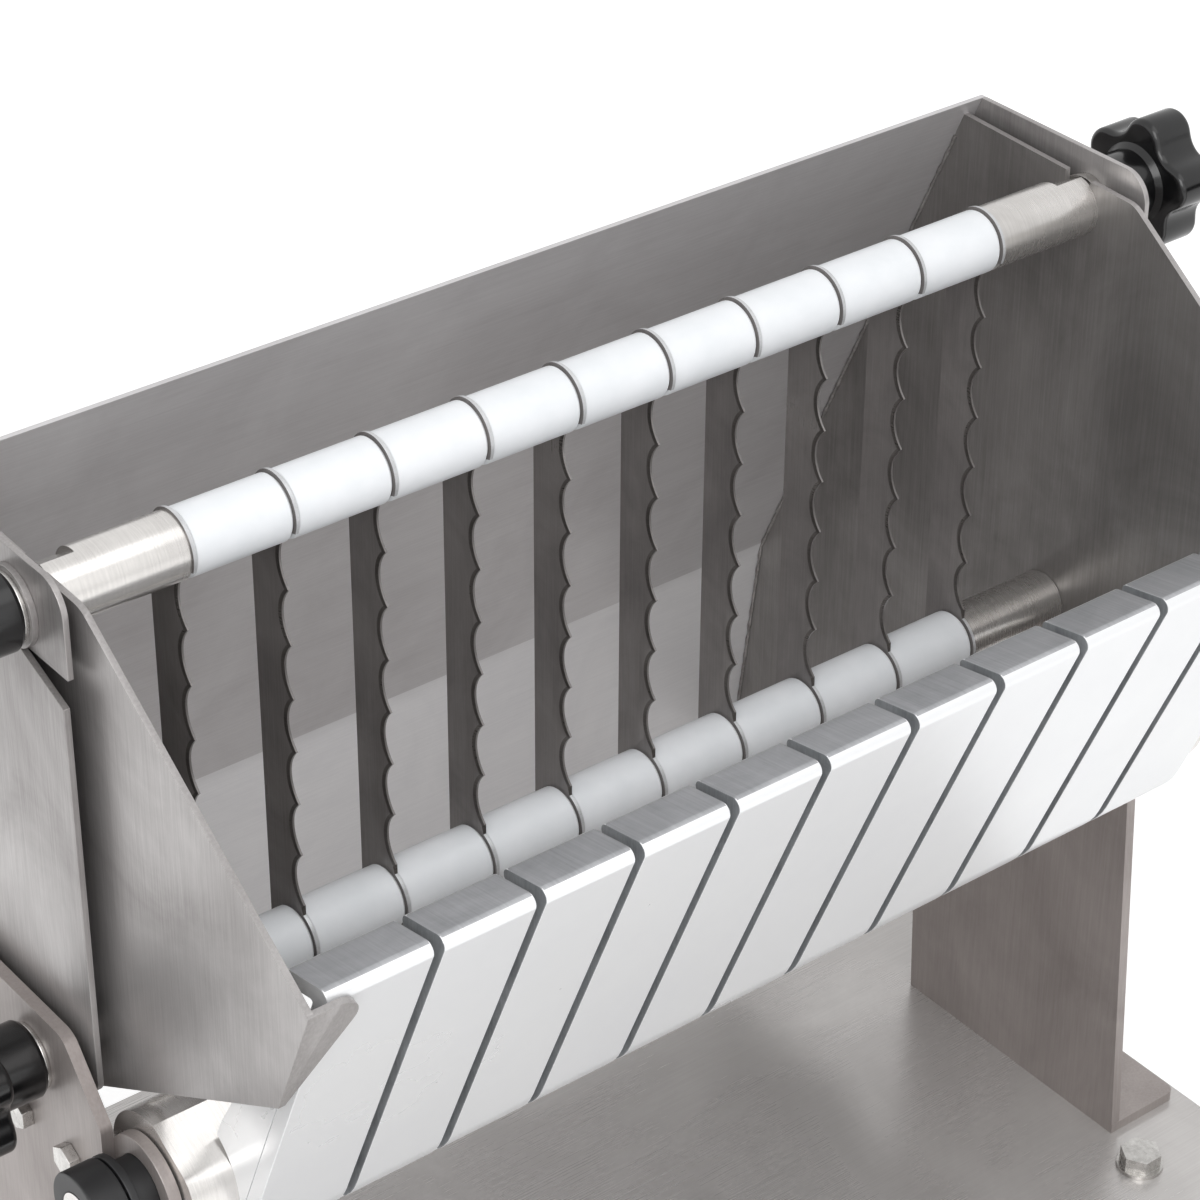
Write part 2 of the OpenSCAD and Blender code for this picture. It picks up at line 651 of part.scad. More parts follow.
// Star knobs and washers
lobes = 5;
lobe_r_share = 0.33;
valley_r_share = 0.353;
valley_at_share = 1.1;
root_r_share = 0.835;
module star() {
    difference() {
        union() {
            circle(r = knob_r * root_r_share);
            for (k = [0:lobes - 1]) rotate(k * 360 / lobes)
                translate([knob_r * (1 - lobe_r_share), 0]) circle(r = knob_r * lobe_r_share);
        }
        for (k = [0:lobes - 1]) rotate((k + 0.5) * 360 / lobes)
            translate([knob_r * valley_at_share, 0]) circle(r = knob_r * valley_r_share);
    }
}
module knob(hub_x, z, turn) {
    translate([0, 0, z]) difference() {
        union() {
            rod_x(hub_x, hub_h, hub_r);
            along_x(hub_x + hub_h, lobe_h) rotate(turn) star();
        }
        rod_x(hub_x - over, over + hub_h + rod_grip + turn_gap, rod_r + run_gap);
    }
}
module upper_left_knob() { color("black") machine() on_side(-1) knob(upper_hub, 0, 10); }
module upper_right_knob() { color("black") machine() on_side(1) knob(upper_hub, 0, 30); }
module lower_left_knob() { color("black") machine() on_side(-1) knob(lower_hub, -rod_drop, 50); }
module lower_right_knob() { color("black") machine() on_side(1) knob(lower_hub, -rod_drop, 0); }
module knob_washers() {
    color("silver") machine() for (s = [-1, 1]) on_side(s) {
        tube_x(outer_out, washer_t, washer_r, rod_r + run_gap);
        tube_x(leg_out, washer_t, washer_r, rod_r + run_gap, 0, -rod_drop);
    }
}

base_plate();
rubber_feet();
foot_bolts();
left_leg();
right_leg();
leg_bolts();
left_side_wall();
right_side_wall();
left_wing();
right_wing();
left_outer_plate();
right_outer_plate();
rear_hood();
upper_rod();
lower_rod();
upper_left_sleeve();
upper_right_sleeve();
lower_left_sleeve();
lower_right_sleeve();
upper_spacers();
lower_spacers();
plate_rings();
knob_washers();
side_screws();
left_bearing_block();
right_bearing_block();
left_bush();
right_bush();
block_screws();
jaw_plate();
jaw_drum();
left_cheek();
right_cheek();
jaw_screws();
shaft_collar();
crank_spacer();
crank_arm();
crank_screw();
grip_spindle();
grip_cap();
crank_grip();
upper_left_knob();
upper_right_knob();
lower_left_knob();
lower_right_knob();
for (i = [1:blade_count]) blade(i);
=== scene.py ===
import json
import math

import bmesh
import bpy
from mathutils import Matrix, Vector


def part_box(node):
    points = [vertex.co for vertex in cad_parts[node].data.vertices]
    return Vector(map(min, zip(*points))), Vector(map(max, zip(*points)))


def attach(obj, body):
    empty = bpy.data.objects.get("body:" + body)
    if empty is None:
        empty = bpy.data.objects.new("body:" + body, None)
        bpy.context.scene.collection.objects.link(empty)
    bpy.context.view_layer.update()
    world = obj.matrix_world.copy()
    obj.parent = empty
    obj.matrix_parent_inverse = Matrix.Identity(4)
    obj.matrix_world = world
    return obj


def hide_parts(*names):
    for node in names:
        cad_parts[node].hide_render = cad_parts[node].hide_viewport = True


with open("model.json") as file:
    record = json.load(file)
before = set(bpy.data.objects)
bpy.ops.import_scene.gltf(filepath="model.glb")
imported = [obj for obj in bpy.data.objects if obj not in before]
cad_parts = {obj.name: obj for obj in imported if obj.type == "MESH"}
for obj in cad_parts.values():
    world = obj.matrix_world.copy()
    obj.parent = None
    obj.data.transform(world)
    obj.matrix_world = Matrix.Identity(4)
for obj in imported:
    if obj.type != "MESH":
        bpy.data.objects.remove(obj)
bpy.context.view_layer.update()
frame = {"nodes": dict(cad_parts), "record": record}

NODES = frame["nodes"]
MM = 0.001

# Sizes of the machine in mm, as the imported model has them, from the middle of the upper rod.
# The rod's middle stands left of the row's middle and above the table.
ROD_LEFT = 54.65
ROD_HEIGHT = 294.0
ROD_DROP = 113.0
PITCH = 25.0
BLADES = 10
JAW_AXIS = (-37.5, -126.2)
JAW_LEAN = math.radians(22.3)
WALL_IN = 144.0
HOOD_BEND = -152.0
# The hood's inner corner as y and z: its top, its bend and its lower end
HOOD_CORNER = ((42.8, 2.0), (111.0, -152.2), (121.2, -228.5))

# Blade: its scalloped edge between the two heads, and the honed bevel on the edge's left side
HEAD_R = 8.7
EDGE_TOP = -4.5
EDGE_LOW = -104.0
EDGE_BACK = -0.2
HONED_W = 0.3
HONED_DEPTH = 0.6
HONED_REACH = 0.35
HONED_LIMIT = 1.5

# Jaw plate: its ends lie outside the slots, and the lip's face lies near its top
JAW_END = 2.0
LIP_DEPTH = 6.0

# Star knob: the lobes' outline as shares of its radius, then its heights and steps in mm
KNOB_R = 17.0
KNOB_SIDES = 150
LOBES = 5
LOBE_OUT_SHARE = 0.67
LOBE_R_SHARE = 0.33
WAIST_SHARE = 0.835
HOLLOW_OUT_SHARE = 1.1
HOLLOW_R_SHARE = 0.353
# The outline is averaged over these turns, in radians, so that lobes and hollows run together
BLEND_TURNS = (-0.05, -0.025, 0, 0.025, 0.05)
LOBE_H = 12.5
LOBE_RIM_R = 1.6
FACE_RIM = 1.4
FACE_SLOPE = 0.5
FACE_SINK = 0.5
BOSS_R = 6.4
BOSS_H = 0.8
BOSS_EDGE = 0.2
HUB_H = 11.0
HUB_INSET = 3.2
HUB_ROOT_R = 10.3
HUB_R = 9.0
HUB_END_R = 8.5
HUB_FILLET = 1.3
HUB_CHAMFER = 0.8
UPPER_HUB_X = 152.3
LOWER_HUB_X = 157.3

# Crank grip: its place, its bead and groove at each end as places along it and radii, its barrel
CRANK_LEN = 140.0
GRIP_IN = 192.0
GRIP_BORE_R = 5.1
GRIP_NEAR_END = ((0.0, 9.6), (0.6, 10.4), (1.6, 10.8), (3.4, 10.8), (4.2, 10.2), (5.0, 10.4))
GRIP_FAR_END = ((81.4, 10.6), (82.6, 10.2), (84.0, 10.7), (86.5, 10.9), (89.0, 10.3), (91.0, 9.0),
                (92.0, 7.2))
BARREL_FROM = 6.0
BARREL_TO = 80.0
BARREL_STEPS = 16
BARREL_END_R = 11.0
BARREL_R = 13.8
# Under 1, the barrel is thickest a little nearer to the crank arm
BARREL_LEAN = 0.92
GRIP_SIDES = 64

# Weld bead in the hood's corners: its radius and ripples, and how its width comes and goes
WELD_R = 0.6
WELD_SINK = 0.1
WELD_STEP = 1.6
WELD_MEAN_SHARE = 0.75
WELD_WAVE_SHARE = 0.2
WELD_RIPPLE_SHARE = 0.12


def spot(x, y, z):
    """A place in mm from the middle of the upper rod, as the row's metres."""
    return Vector(((x - ROD_LEFT) * MM, y * MM, (z + ROD_HEIGHT) * MM))


# Working with pieces

def choose_none():
    if bpy.context.object and bpy.context.object.mode != "OBJECT":
        bpy.ops.object.mode_set(mode="OBJECT")
    bpy.ops.object.select_all(action="DESELECT")


def choose(piece):
    choose_none()
    piece.hide_set(False)
    piece.select_set(True)
    bpy.context.view_layer.objects.active = piece


def apply_all(piece):
    choose(piece)
    for modifier in list(piece.modifiers):
        bpy.ops.object.modifier_apply(modifier=modifier.name)


def settle(piece):
    """Puts the piece's place into its mesh."""
    choose(piece)
    bpy.ops.object.transform_apply(location=True, rotation=True, scale=True)


def smooth(piece, degrees):
    choose(piece)
    bpy.ops.object.shade_smooth_by_angle(angle=math.radians(degrees))


def bevel(piece, width, segments=2, degrees=30):
    soft = piece.modifiers.new("soft edges", "BEVEL")
    soft.width = width * MM
    soft.segments = segments
    soft.limit_method = "ANGLE"
    soft.angle_limit = math.radians(degrees)


def flat_faces(piece):
    """Keeps broad faces flat to the eye beside their rounded edges."""
    even = piece.modifiers.new("even faces", "WEIGHTED_NORMAL")
    even.keep_sharp = True
    even.weight = 100
    apply_all(piece)


def finish(piece, name, body, material, replaced=()):
    piece.name = name
    piece.data.name = name
    piece.data.materials.clear()
    piece.data.materials.append(material)
    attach(piece, body)
    if replaced:
        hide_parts(*replaced)


def body_of(node):
    for body, members in frame["record"]["behaviour"]["bodies"].items():
        if node in members:
            return body
    return "frame"


def merged_copy(node):
    """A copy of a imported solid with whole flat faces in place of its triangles."""
    piece = bpy.data.objects.new(node + "_copy", NODES[node].data.copy())
    bpy.context.scene.collection.objects.link(piece)
    choose(piece)
    bpy.ops.object.mode_set(mode="EDIT")
    bpy.ops.mesh.select_all(action="SELECT")
    bpy.ops.mesh.remove_doubles(threshold=0.002 * MM)
    bpy.ops.mesh.dissolve_limited(angle_limit=math.radians(0.6))
    bpy.ops.mesh.customdata_custom_splitnormals_clear()
    bpy.ops.object.mode_set(mode="OBJECT")
    return piece


def softened(node, name, width, material, segments=2, degrees=30):
    """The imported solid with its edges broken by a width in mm, as deburred sheet and bar have them."""
    piece = merged_copy(node)
    bevel(piece, width, segments, degrees)
    apply_all(piece)
    smooth(piece, 40)
    flat_faces(piece)
    finish(piece, name, body_of(node), material, (node,))
    return piece


# Materials

def linear(value):
    """An sRGB hex colour as the linear values that a shader takes."""
    parts = [int(value[k:k + 2], 16) / 255 for k in (1, 3, 5)]
    return [c / 12.92 if c <= 0.04045 else ((c + 0.055) / 1.055) ** 2.4 for c in parts] + [1.0]


def add(nodes, kind, settings=None, sockets=None):
    made = nodes.new(kind)
    for key, value in (settings or {}).items():
        setattr(made, key, value)
    for key, value in (sockets or {}).items():
        if isinstance(value, bpy.types.NodeSocket):
            nodes.id_data.links.new(value, made.inputs[key])
        else:
            made.inputs[key].default_value = value
    return made


def shaded(name):
    material = bpy.data.materials.new(name)
    material.use_nodes = True
    nodes = material.node_tree.nodes
    nodes.clear()
    shader = add(nodes, "ShaderNodeBsdfPrincipled")
    add(nodes, "ShaderNodeOutputMaterial", sockets={"Surface": shader.outputs["BSDF"]})
    place = add(nodes, "ShaderNodeTexCoord").outputs["Object"]
    return material, nodes, shader, place


# How deep brushing scores the steel, and how far apart marks of handling lie on plastic, in mm
SCORE_DEPTH = 0.04
WEAR = 14.3
# How far light wanders inside white acetal, in mm
GLOW_DEPTH = 1.5


def brushed_steel(name, dark, pale, grain, rough, cloud=45.0, score=0.3, metal=1.0):
    """Stainless sheet or bar: grain is the brush lines' size in mm along x, y and z.

    Handling and cleaning leave clouds, and cloud is their size in mm. A metal share under 1
    lets the lamps lighten the sheet as a wide pale studio would.
    """
    material, nodes, shader, place = shaded(name)
    stretched = add(nodes, "ShaderNodeMapping", sockets={
        "Vector": place, "Scale": [1 / (g * MM) for g in grain]})
    lines = add(nodes, "ShaderNodeTexNoise", sockets={
        "Vector": stretched.outputs[0], "Scale": 1.0, "Detail": 4.0, "Roughness": 0.6})
    clouds = add(nodes, "ShaderNodeTexNoise", sockets={
        "Vector": place, "Scale": 1 / (cloud * MM), "Detail": 5.0, "Roughness": 0.62, "Distortion": 0.6})
    mixed = add(nodes, "ShaderNodeMath", {"operation": "MULTIPLY_ADD"}, {
        0: lines.outputs[0], 1: 0.45, 2: clouds.outputs[0]})
    tone = add(nodes, "ShaderNodeValToRGB", sockets={"Fac": mixed.outputs[0]})
    tone.color_ramp.elements[0].position = 0.5
    tone.color_ramp.elements[0].color = linear(dark)
    tone.color_ramp.elements[1].position = 0.95
    tone.color_ramp.elements[1].color = linear(pale)
    gloss = add(nodes, "ShaderNodeMapRange", sockets={
        "Value": mixed.outputs[0], "From Min": 0.45, "From Max": 1.0,
        "To Min": rough[1], "To Max": rough[0]})
    shader.inputs["Metallic"].default_value = metal
    nodes.id_data.links.new(tone.outputs[0], shader.inputs["Base Color"])
    nodes.id_data.links.new(gloss.outputs[0], shader.inputs["Roughness"])
    if score:
        relief = add(nodes, "ShaderNodeBump", sockets={
            "Height": lines.outputs[0], "Strength": score, "Distance": SCORE_DEPTH * MM})
        nodes.id_data.links.new(relief.outputs[0], shader.inputs["Normal"])
    return material


def moulded(name, colour, second, rough, ior, grain, depth, subsurface=0.0):
    """Plastic or rubber: grain and depth are the size in mm of the fine skin on it."""
    material, nodes, shader, place = shaded(name)
    skin = add(nodes, "ShaderNodeTexNoise", sockets={
        "Vector": place, "Scale": 1 / (grain * MM), "Detail": 3.0, "Roughness": 0.55})
    wear = add(nodes, "ShaderNodeTexNoise", sockets={
        "Vector": place, "Scale": 1 / (WEAR * MM), "Detail": 4.0, "Roughness": 0.6})
    tone = add(nodes, "ShaderNodeValToRGB", sockets={"Fac": wear.outputs[0]})
    tone.color_ramp.elements[0].position = 0.35
    tone.color_ramp.elements[0].color = linear(colour)
    tone.color_ramp.elements[1].position = 0.7
    tone.color_ramp.elements[1].color = linear(second)
    gloss = add(nodes, "ShaderNodeMapRange", sockets={
        "Value": wear.outputs[0], "From Min": 0.3, "From Max": 0.7,
        "To Min": rough[0], "To Max": rough[1]})
    relief = add(nodes, "ShaderNodeBump", sockets={
        "Height": skin.outputs[0], "Strength": 0.3, "Distance": depth * MM})
    shader.inputs["IOR"].default_value = ior
    if subsurface:
        shader.inputs["Subsurface Weight"].default_value = subsurface
        shader.inputs["Subsurface Radius"].default_value = (1.0, 1.0, 1.0)
        shader.inputs["Subsurface Scale"].default_value = GLOW_DEPTH * MM
    nodes.id_data.links.new(tone.outputs[0], shader.inputs["Base Color"])
    nodes.id_data.links.new(gloss.outputs[0], shader.inputs["Roughness"])
    nodes.id_data.links.new(relief.outputs[0], shader.inputs["Normal"])
    return material


# Cold rolled 304 sheet, brushed upwards: warm grey with fine upright lines
WALL_STEEL = brushed_steel(
    "brushed_304_sheet_upright", "#928e8d", "#bab7b6", (0.55, 0.55, 22.0), (0.28, 0.44), metal=0.6)
# The same sheet on the walls' inner faces, painted darker as the shade that falls inside the hopper
INNER_PAINTED_SHADE_STEEL = brushed_steel(
    "brushed_304_sheet_inside_painted_shade", "#757270", "#989593", (0.55, 0.55, 22.0), (0.30, 0.46), metal=0.6)
# The same sheet brushed along the machine, for the hood: paler, with long level lines
HOOD_STEEL = brushed_steel(
    "brushed_304_sheet_lengthwise", "#c5c2c3", "#d8d6d7", (26.0, 0.6, 0.6), (0.32, 0.48), metal=0.4)
# The hood's front below its bend, painted paler as the light that it reflects from behind and below
HOOD_PAINTED_LIGHT_STEEL = brushed_steel(
    "brushed_304_sheet_below_the_bend_painted_light", "#dedddf", "#ebeaeb", (26.0, 0.6, 0.6), (0.34, 0.5), metal=0.3)
# Leg plate of brushed 304, 3 mm: coarser upright lines on a browner grey
LEG_STEEL = brushed_steel(
    "brushed_304_plate", "#8f8784", "#a9a19e", (0.7, 0.7, 18.0), (0.30, 0.46), metal=0.35)
# Base sheet of polished 304: a warm grey that shows the legs as blurred dark stripes
BASE_STEEL = brushed_steel(
    "polished_304_base", "#b4b1af", "#cfccca", (30.0, 0.5, 0.5), (0.20, 0.34), 70.0, 0.2, 0.4)
# Jaw of thick stainless plate, ground and polished: nearly white and without lines
JAW_STEEL = brushed_steel(
    "polished_jaw_plate", "#ebecee", "#f2f3f4", (40.0, 60.0, 60.0), (0.26, 0.34), 80.0, 0.0, 0.3)
# The lip's upper face: satin with fine brush lines, and painted a darker grey as the reflection of the
# dark hood behind it
LIP_PAINTED_REFLECTION_STEEL = brushed_steel(
    "satin_jaw_lip_painted_reflection", "#9b9c9f", "#c2c3c6", (0.5, 26.0, 26.0), (0.34, 0.50), 30.0, 0.2, 0.7)
# Slot walls, sawn through: mid grey, dull, with the saw's marks
SAWN_STEEL = brushed_steel(
    "sawn_slot_wall", "#8d9093", "#b4b7ba", (1.0, 0.7, 9.0), (0.45, 0.6), 10.0, 0.6, 0.6)
# Blade strip, ground flat: a dark, even grey
BLADE_STEEL = brushed_steel(
    "ground_blade_strip", "#716d6c", "#8d8987", (0.5, 0.5, 20.0), (0.26, 0.40), 30.0, 0.2, 0.4)
# The honed bevel on the cutting edge: a thin darker line
EDGE_STEEL = brushed_steel(
    "honed_blade_edge", "#4b4745", "#716d6a", (0.5, 5.0, 0.5), (0.24, 0.38), 20.0, 0.3, 0.6)
# Turned 304 bar: bright, satin, with fine rings round the rod
BAR_STEEL = brushed_steel(
    "turned_304_bar", "#c4c1be", "#e6e3e0", (0.35, 12.0, 12.0), (0.20, 0.32), 40.0, 0.2, 0.85)
# Bolts and washers of bright A2 steel, as bought
BOLT_STEEL = brushed_steel(
    "bright_a2_fastener", "#a9a7a4", "#dad8d5", (1.2, 1.2, 1.2), (0.18, 0.32), 10.0, 0.3)
# Weld left as laid: grey, lumpy and dull
WELD_STEEL = brushed_steel(
    "raw_weld", "#6f6b6a", "#a5a2a0", (0.9, 0.9, 0.9), (0.4, 0.6), 6.0, 0.8, 0.5)
# Rims of the blade heads: thin rings between the spacers, painted pale grey as the white light that they
# reflect
RIM_PAINTED_REFLECTION_STEEL = brushed_steel(
    "blade_rim_painted_reflection", "#b9babc", "#d5d6d8", (0.5, 0.5, 0.5), (0.30, 0.42), 10.0, 0.0, 0.4)
# Crank arm of flat 304 bar, brushed lengthwise
CRANK_STEEL = brushed_steel(
    "brushed_crank_bar", "#96928d", "#c2beb9", (0.6, 0.6, 16.0), (0.22, 0.36))
# Turned acetal spacers: milky white and satin, with light inside them
SPACER_WHITE = moulded("white_acetal", "#e9ecef", "#f1f3f6", (0.36, 0.48), 1.48, 0.6, 0.01, 0.2)
# Moulded thermoset of the knobs and the grip: glossy black
KNOB_BLACK = moulded("black_thermoset", "#0c0c0d", "#131314", (0.14, 0.26), 1.55, 0.8, 0.012)
# Bearing bushes and collar of black nylon: satin
BUSH_BLACK = moulded("black_nylon", "#161617", "#1e1e20", (0.38, 0.5), 1.53, 0.7, 0.02)
# Moulded rubber feet: dull, with a fine skin
FOOT_RUBBER = moulded("black_rubber", "#1a1a1b", "#262627", (0.62, 0.8), 1.52, 0.9, 0.04)


# Sheet metal and plates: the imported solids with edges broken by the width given, in mm
for side, inward in (("left", 1), ("right", -1)):
    wall = softened(side + "_side_wall", side + "_side_wall_sheet", 0.28, WALL_STEEL)
    wall.data.materials.append(INNER_PAINTED_SHADE_STEEL)
    # The walls' inner faces take the copy that is painted darker with shade
    for face in wall.data.polygons:
        if face.normal.x * inward > 0.9:
            face.material_index = 1
    for node, made, width, look in (
            ("wing", "wing_sheet", 0.28, WALL_STEEL), ("outer_plate", "outer_sheet", 0.28, WALL_STEEL),
            ("leg", "leg_plate", 0.45, LEG_STEEL), ("bearing_block", "block", 0.4, LEG_STEEL),
            ("bush", "bush_ring", 0.4, BUSH_BLACK), ("cheek", "cheek_plate", 0.3, JAW_STEEL)):
        softened(f"{side}_{node}", f"{side}_{made}", width, look)
    for level in ("upper", "lower"):
        softened(f"{level}_{side}_sleeve", f"{level}_{side}_tube", 0.35, BAR_STEEL, degrees=25)
hood = softened("rear_hood", "hood_sheet", 0.3, HOOD_STEEL)
hood.data.materials.append(HOOD_PAINTED_LIGHT_STEEL)
# Front faces below the bend take the copy that is painted paler with reflected light
for face in hood.data.polygons:
    if face.center.z < spot(0, 0, HOOD_BEND).z and face.normal.y < 0:
        face.material_index = 1
softened("base_plate", "base_sheet", 0.5, BASE_STEEL)
softened("jaw_drum", "drum_bar", 0.4, BAR_STEEL, degrees=25)
softened("crank_arm", "crank_bar", 1.2, CRANK_STEEL, segments=3)
for rod in ("upper_rod", "lower_rod"):
    softened(rod, rod + "_bar", 0.5, BAR_STEEL)
for node, width, look in (
        ("foot_bolts", 0.35, BOLT_STEEL), ("leg_bolts", 0.35, BOLT_STEEL),
        ("side_screws", 0.3, BOLT_STEEL), ("block_screws", 0.3, BOLT_STEEL),
        ("jaw_screws", 0.3, BOLT_STEEL), ("crank_screw", 0.35, BOLT_STEEL),
        ("plate_rings", 0.2, BOLT_STEEL), ("knob_washers", 0.2, BOLT_STEEL),
        ("shaft_collar", 0.6, BUSH_BLACK), ("crank_spacer", 0.6, BAR_STEEL),
        ("grip_spindle", 0.4, BAR_STEEL), ("grip_cap", 0.5, BAR_STEEL),
        ("rubber_feet", 1.2, FOOT_RUBBER)):
    softened(node, node + "_made", width, look)


# Spacers: turned acetal, each with the narrow chamfer that shows as a seam
for level in ("upper", "lower"):
    softened(level + "_spacers", level + "_spacer_tubes", 0.06, SPACER_WHITE, segments=1, degrees=25)


def jaw_plate():
    """Polished plate: the walls of its slots are sawn, and its lip's upper face is satin and painted
    grey as a reflection of the hood.
    """
    piece = softened("jaw_plate", "slotted_jaw", 0.3, JAW_STEEL)
    piece.data.materials.append(SAWN_STEEL)
    piece.data.materials.append(LIP_PAINTED_REFLECTION_STEEL)
    low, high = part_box("jaw_plate")
    # Slot walls take the sawn steel; the lip's upper face takes the copy that is painted grey with the
    # hood's reflection
    for face in piece.data.polygons:
        inside = low.x + JAW_END * MM < face.center.x < high.x - JAW_END * MM
        if inside and abs(face.normal.x) > 0.9:
            face.material_index = 1
        elif face.normal.z > 0.9 and face.center.z > high.z - LIP_DEPTH * MM:
            face.material_index = 2


jaw_plate()


def cut_blade():
    """One blade: a ground strip with a narrow honed bevel behind each scallop, on its left face."""
    piece = merged_copy("blade_1")
    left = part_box("blade_1")[0].x
    front = spot(0, EDGE_BACK, 0).y
    top = spot(0, 0, EDGE_TOP).z
    bottom = spot(0, 0, EDGE_LOW).z
    choose(piece)
    bpy.ops.object.mode_set(mode="EDIT")
    bpy.ops.mesh.select_mode(type="EDGE")
    bpy.ops.mesh.select_all(action="DESELECT")
    mesh = bmesh.from_edit_mesh(piece.data)
    for edge in mesh.edges:
        edge.select_set(all(v.co.x < left + 0.1 * MM and v.co.y < front and bottom < v.co.z < top
                            for v in edge.verts))
    bmesh.update_edit_mesh(piece.data)
    bpy.ops.mesh.bevel(offset=HONED_W * MM, segments=1, affect="EDGES")
    bpy.ops.mesh.select_all(action="DESELECT")
    mesh = bmesh.from_edit_mesh(piece.data)
    for vert in mesh.verts:
        on_face = vert.co.x < left + 0.02 * MM
        if on_face and vert.co.y < front + HONED_REACH * MM and bottom < vert.co.z < top:
            vert.co.y += HONED_DEPTH * MM
    bmesh.update_edit_mesh(piece.data)
    bpy.ops.object.mode_set(mode="OBJECT")
    piece.data.materials.clear()
    return piece


def blades():
    """All the blades on the rods, each with its own mesh, honed edge and rims painted pale as a
    reflection.
    """
    first = cut_blade()
    smooth(first, 30)
    for k in range(BLADES):
        piece = first
        if k:
            piece = bpy.data.objects.new("blade", first.data.copy())
            bpy.context.scene.collection.objects.link(piece)
        finish(piece, f"blade_strip_{k + 1}", "frame", BLADE_STEEL, (f"blade_{k + 1}",))
        piece.data.materials.append(EDGE_STEEL)
        piece.data.materials.append(RIM_PAINTED_REFLECTION_STEEL)
        # The heads' rims take the copy that is painted pale with reflected light
        for face in piece.data.polygons:
            if -0.98 < face.normal.x < -0.15 and face.center.y < spot(0, HONED_LIMIT, 0).y:
                face.material_index = 1
            elif abs(face.normal.x) < 0.5 and any(
                    (face.center - spot(0, 0, z)).yz.length < HEAD_R * MM for z in (0.0, -ROD_DROP)):
                face.material_index = 2
        if k:
            piece.data.transform(Matrix.Translation((k * PITCH * MM, 0, 0)))


blades()


def circle_reach(turn, out, radius, side):
    """How far out a ray meets a circle that stands out from the middle: side 1 is its far side."""
    return out * math.cos(turn) + side * math.sqrt(radius ** 2 - (out * math.sin(turn)) ** 2)


def star_radius(turn):
    """Outline of a five lobed knob: round lobes and round hollows, as a share of its radius."""
    step = 2 * math.pi / LOBES
    near = (turn + step / 2) % step - step / 2
    radius = WAIST_SHARE
    if abs(near) < math.asin(LOBE_R_SHARE / LOBE_OUT_SHARE):
        radius = max(radius, circle_reach(near, LOBE_OUT_SHARE, LOBE_R_SHARE, 1))
    hollow = abs(near) - step / 2
    if abs(math.sin(hollow)) < HOLLOW_R_SHARE / HOLLOW_OUT_SHARE:
        radius = min(radius, circle_reach(hollow, HOLLOW_OUT_SHARE, HOLLOW_R_SHARE, -1))
    return radius


def star_blank(turn):
    """The lobes as a plain thick star, standing on the hub's root."""
    choose_none()
    bpy.ops.mesh.primitive_cylinder_add(vertices=KNOB_SIDES, radius=KNOB_R * MM, depth=LOBE_H * MM,
                                        location=(0, 0, (HUB_H + LOBE_H / 2) * MM))
    piece = bpy.context.object
    for vert in piece.data.vertices:
        angle = math.atan2(vert.co.y, vert.co.x) + math.radians(turn)
        shape = sum(star_radius(angle + w) for w in BLEND_TURNS) / len(BLEND_TURNS)
        vert.co.x *= shape
        vert.co.y *= shape
    settle(piece)
    return piece


def round_rims(piece):
    for level in (HUB_H * MM, (HUB_H + LOBE_H) * MM):
        choose(piece)
        bpy.ops.object.mode_set(mode="EDIT")
        bpy.ops.mesh.select_mode(type="EDGE")
        bpy.ops.mesh.select_all(action="DESELECT")
        mesh = bmesh.from_edit_mesh(piece.data)
        for edge in mesh.edges:
            edge.select_set(all(abs(v.co.z - level) < 0.01 * MM for v in edge.verts))
        bmesh.update_edit_mesh(piece.data)
        bpy.ops.mesh.bevel(offset=LOBE_RIM_R * MM, segments=5, affect="EDGES", profile=0.5)
        bpy.ops.object.mode_set(mode="OBJECT")


def choose_cap(piece, end):
    """Selects the whole face at one end of the knob: max is the outer end, min is the hub's."""
    bpy.ops.mesh.select_all(action="DESELECT")
    mesh = bmesh.from_edit_mesh(piece.data)
    caps = [face for face in mesh.faces if len(face.verts) == KNOB_SIDES]
    end(caps, key=lambda face: face.calc_center_median().z).select_set(True)
    bmesh.update_edit_mesh(piece.data)


def sink_face(piece):
    """Sinks the outer face inside a narrow rim."""
    choose_cap(piece, max)
    bpy.ops.mesh.inset(thickness=FACE_RIM * MM)
    choose_cap(piece, max)
    bpy.ops.mesh.inset(thickness=FACE_SLOPE * MM)
    bpy.ops.transform.translate(value=(0, 0, -FACE_SINK * MM))


def draw_hub(piece):
    """Draws the hub back from the lobes, with a fillet at its root and a small chamfer at its end."""
    choose_cap(piece, min)
    bpy.ops.mesh.inset(thickness=HUB_INSET * MM)
    mesh = bmesh.from_edit_mesh(piece.data)
    for vert in {v for face in mesh.faces if face.select for v in face.verts}:
        vert.co.x, vert.co.y = vert.co.xy.normalized() * HUB_ROOT_R * MM
    bmesh.update_edit_mesh(piece.data)
    for length, start_r, end_r in (
            (HUB_FILLET, HUB_ROOT_R, HUB_R), (HUB_H - HUB_FILLET - HUB_CHAMFER, HUB_R, HUB_R),
            (HUB_CHAMFER, HUB_R, HUB_END_R)):
        choose_cap(piece, min)
        bpy.ops.mesh.extrude_region_move(TRANSFORM_OT_translate={"value": (0, 0, -length * MM)})
        bpy.ops.transform.resize(value=(end_r / start_r, end_r / start_r, 1))


def join_boss(piece):
    """Stands a flat boss in the middle of the sunk face."""
    choose_none()
    bpy.ops.mesh.primitive_cylinder_add(vertices=64, radius=BOSS_R * MM, depth=BOSS_H * MM,
                                        location=(0, 0, (HUB_H + LOBE_H - FACE_SINK) * MM))
    boss = bpy.context.object
    settle(boss)
    bevel(boss, BOSS_EDGE)
    apply_all(boss)
    boss.select_set(True)
    piece.select_set(True)
    bpy.context.view_layer.objects.active = piece
    bpy.ops.object.join()


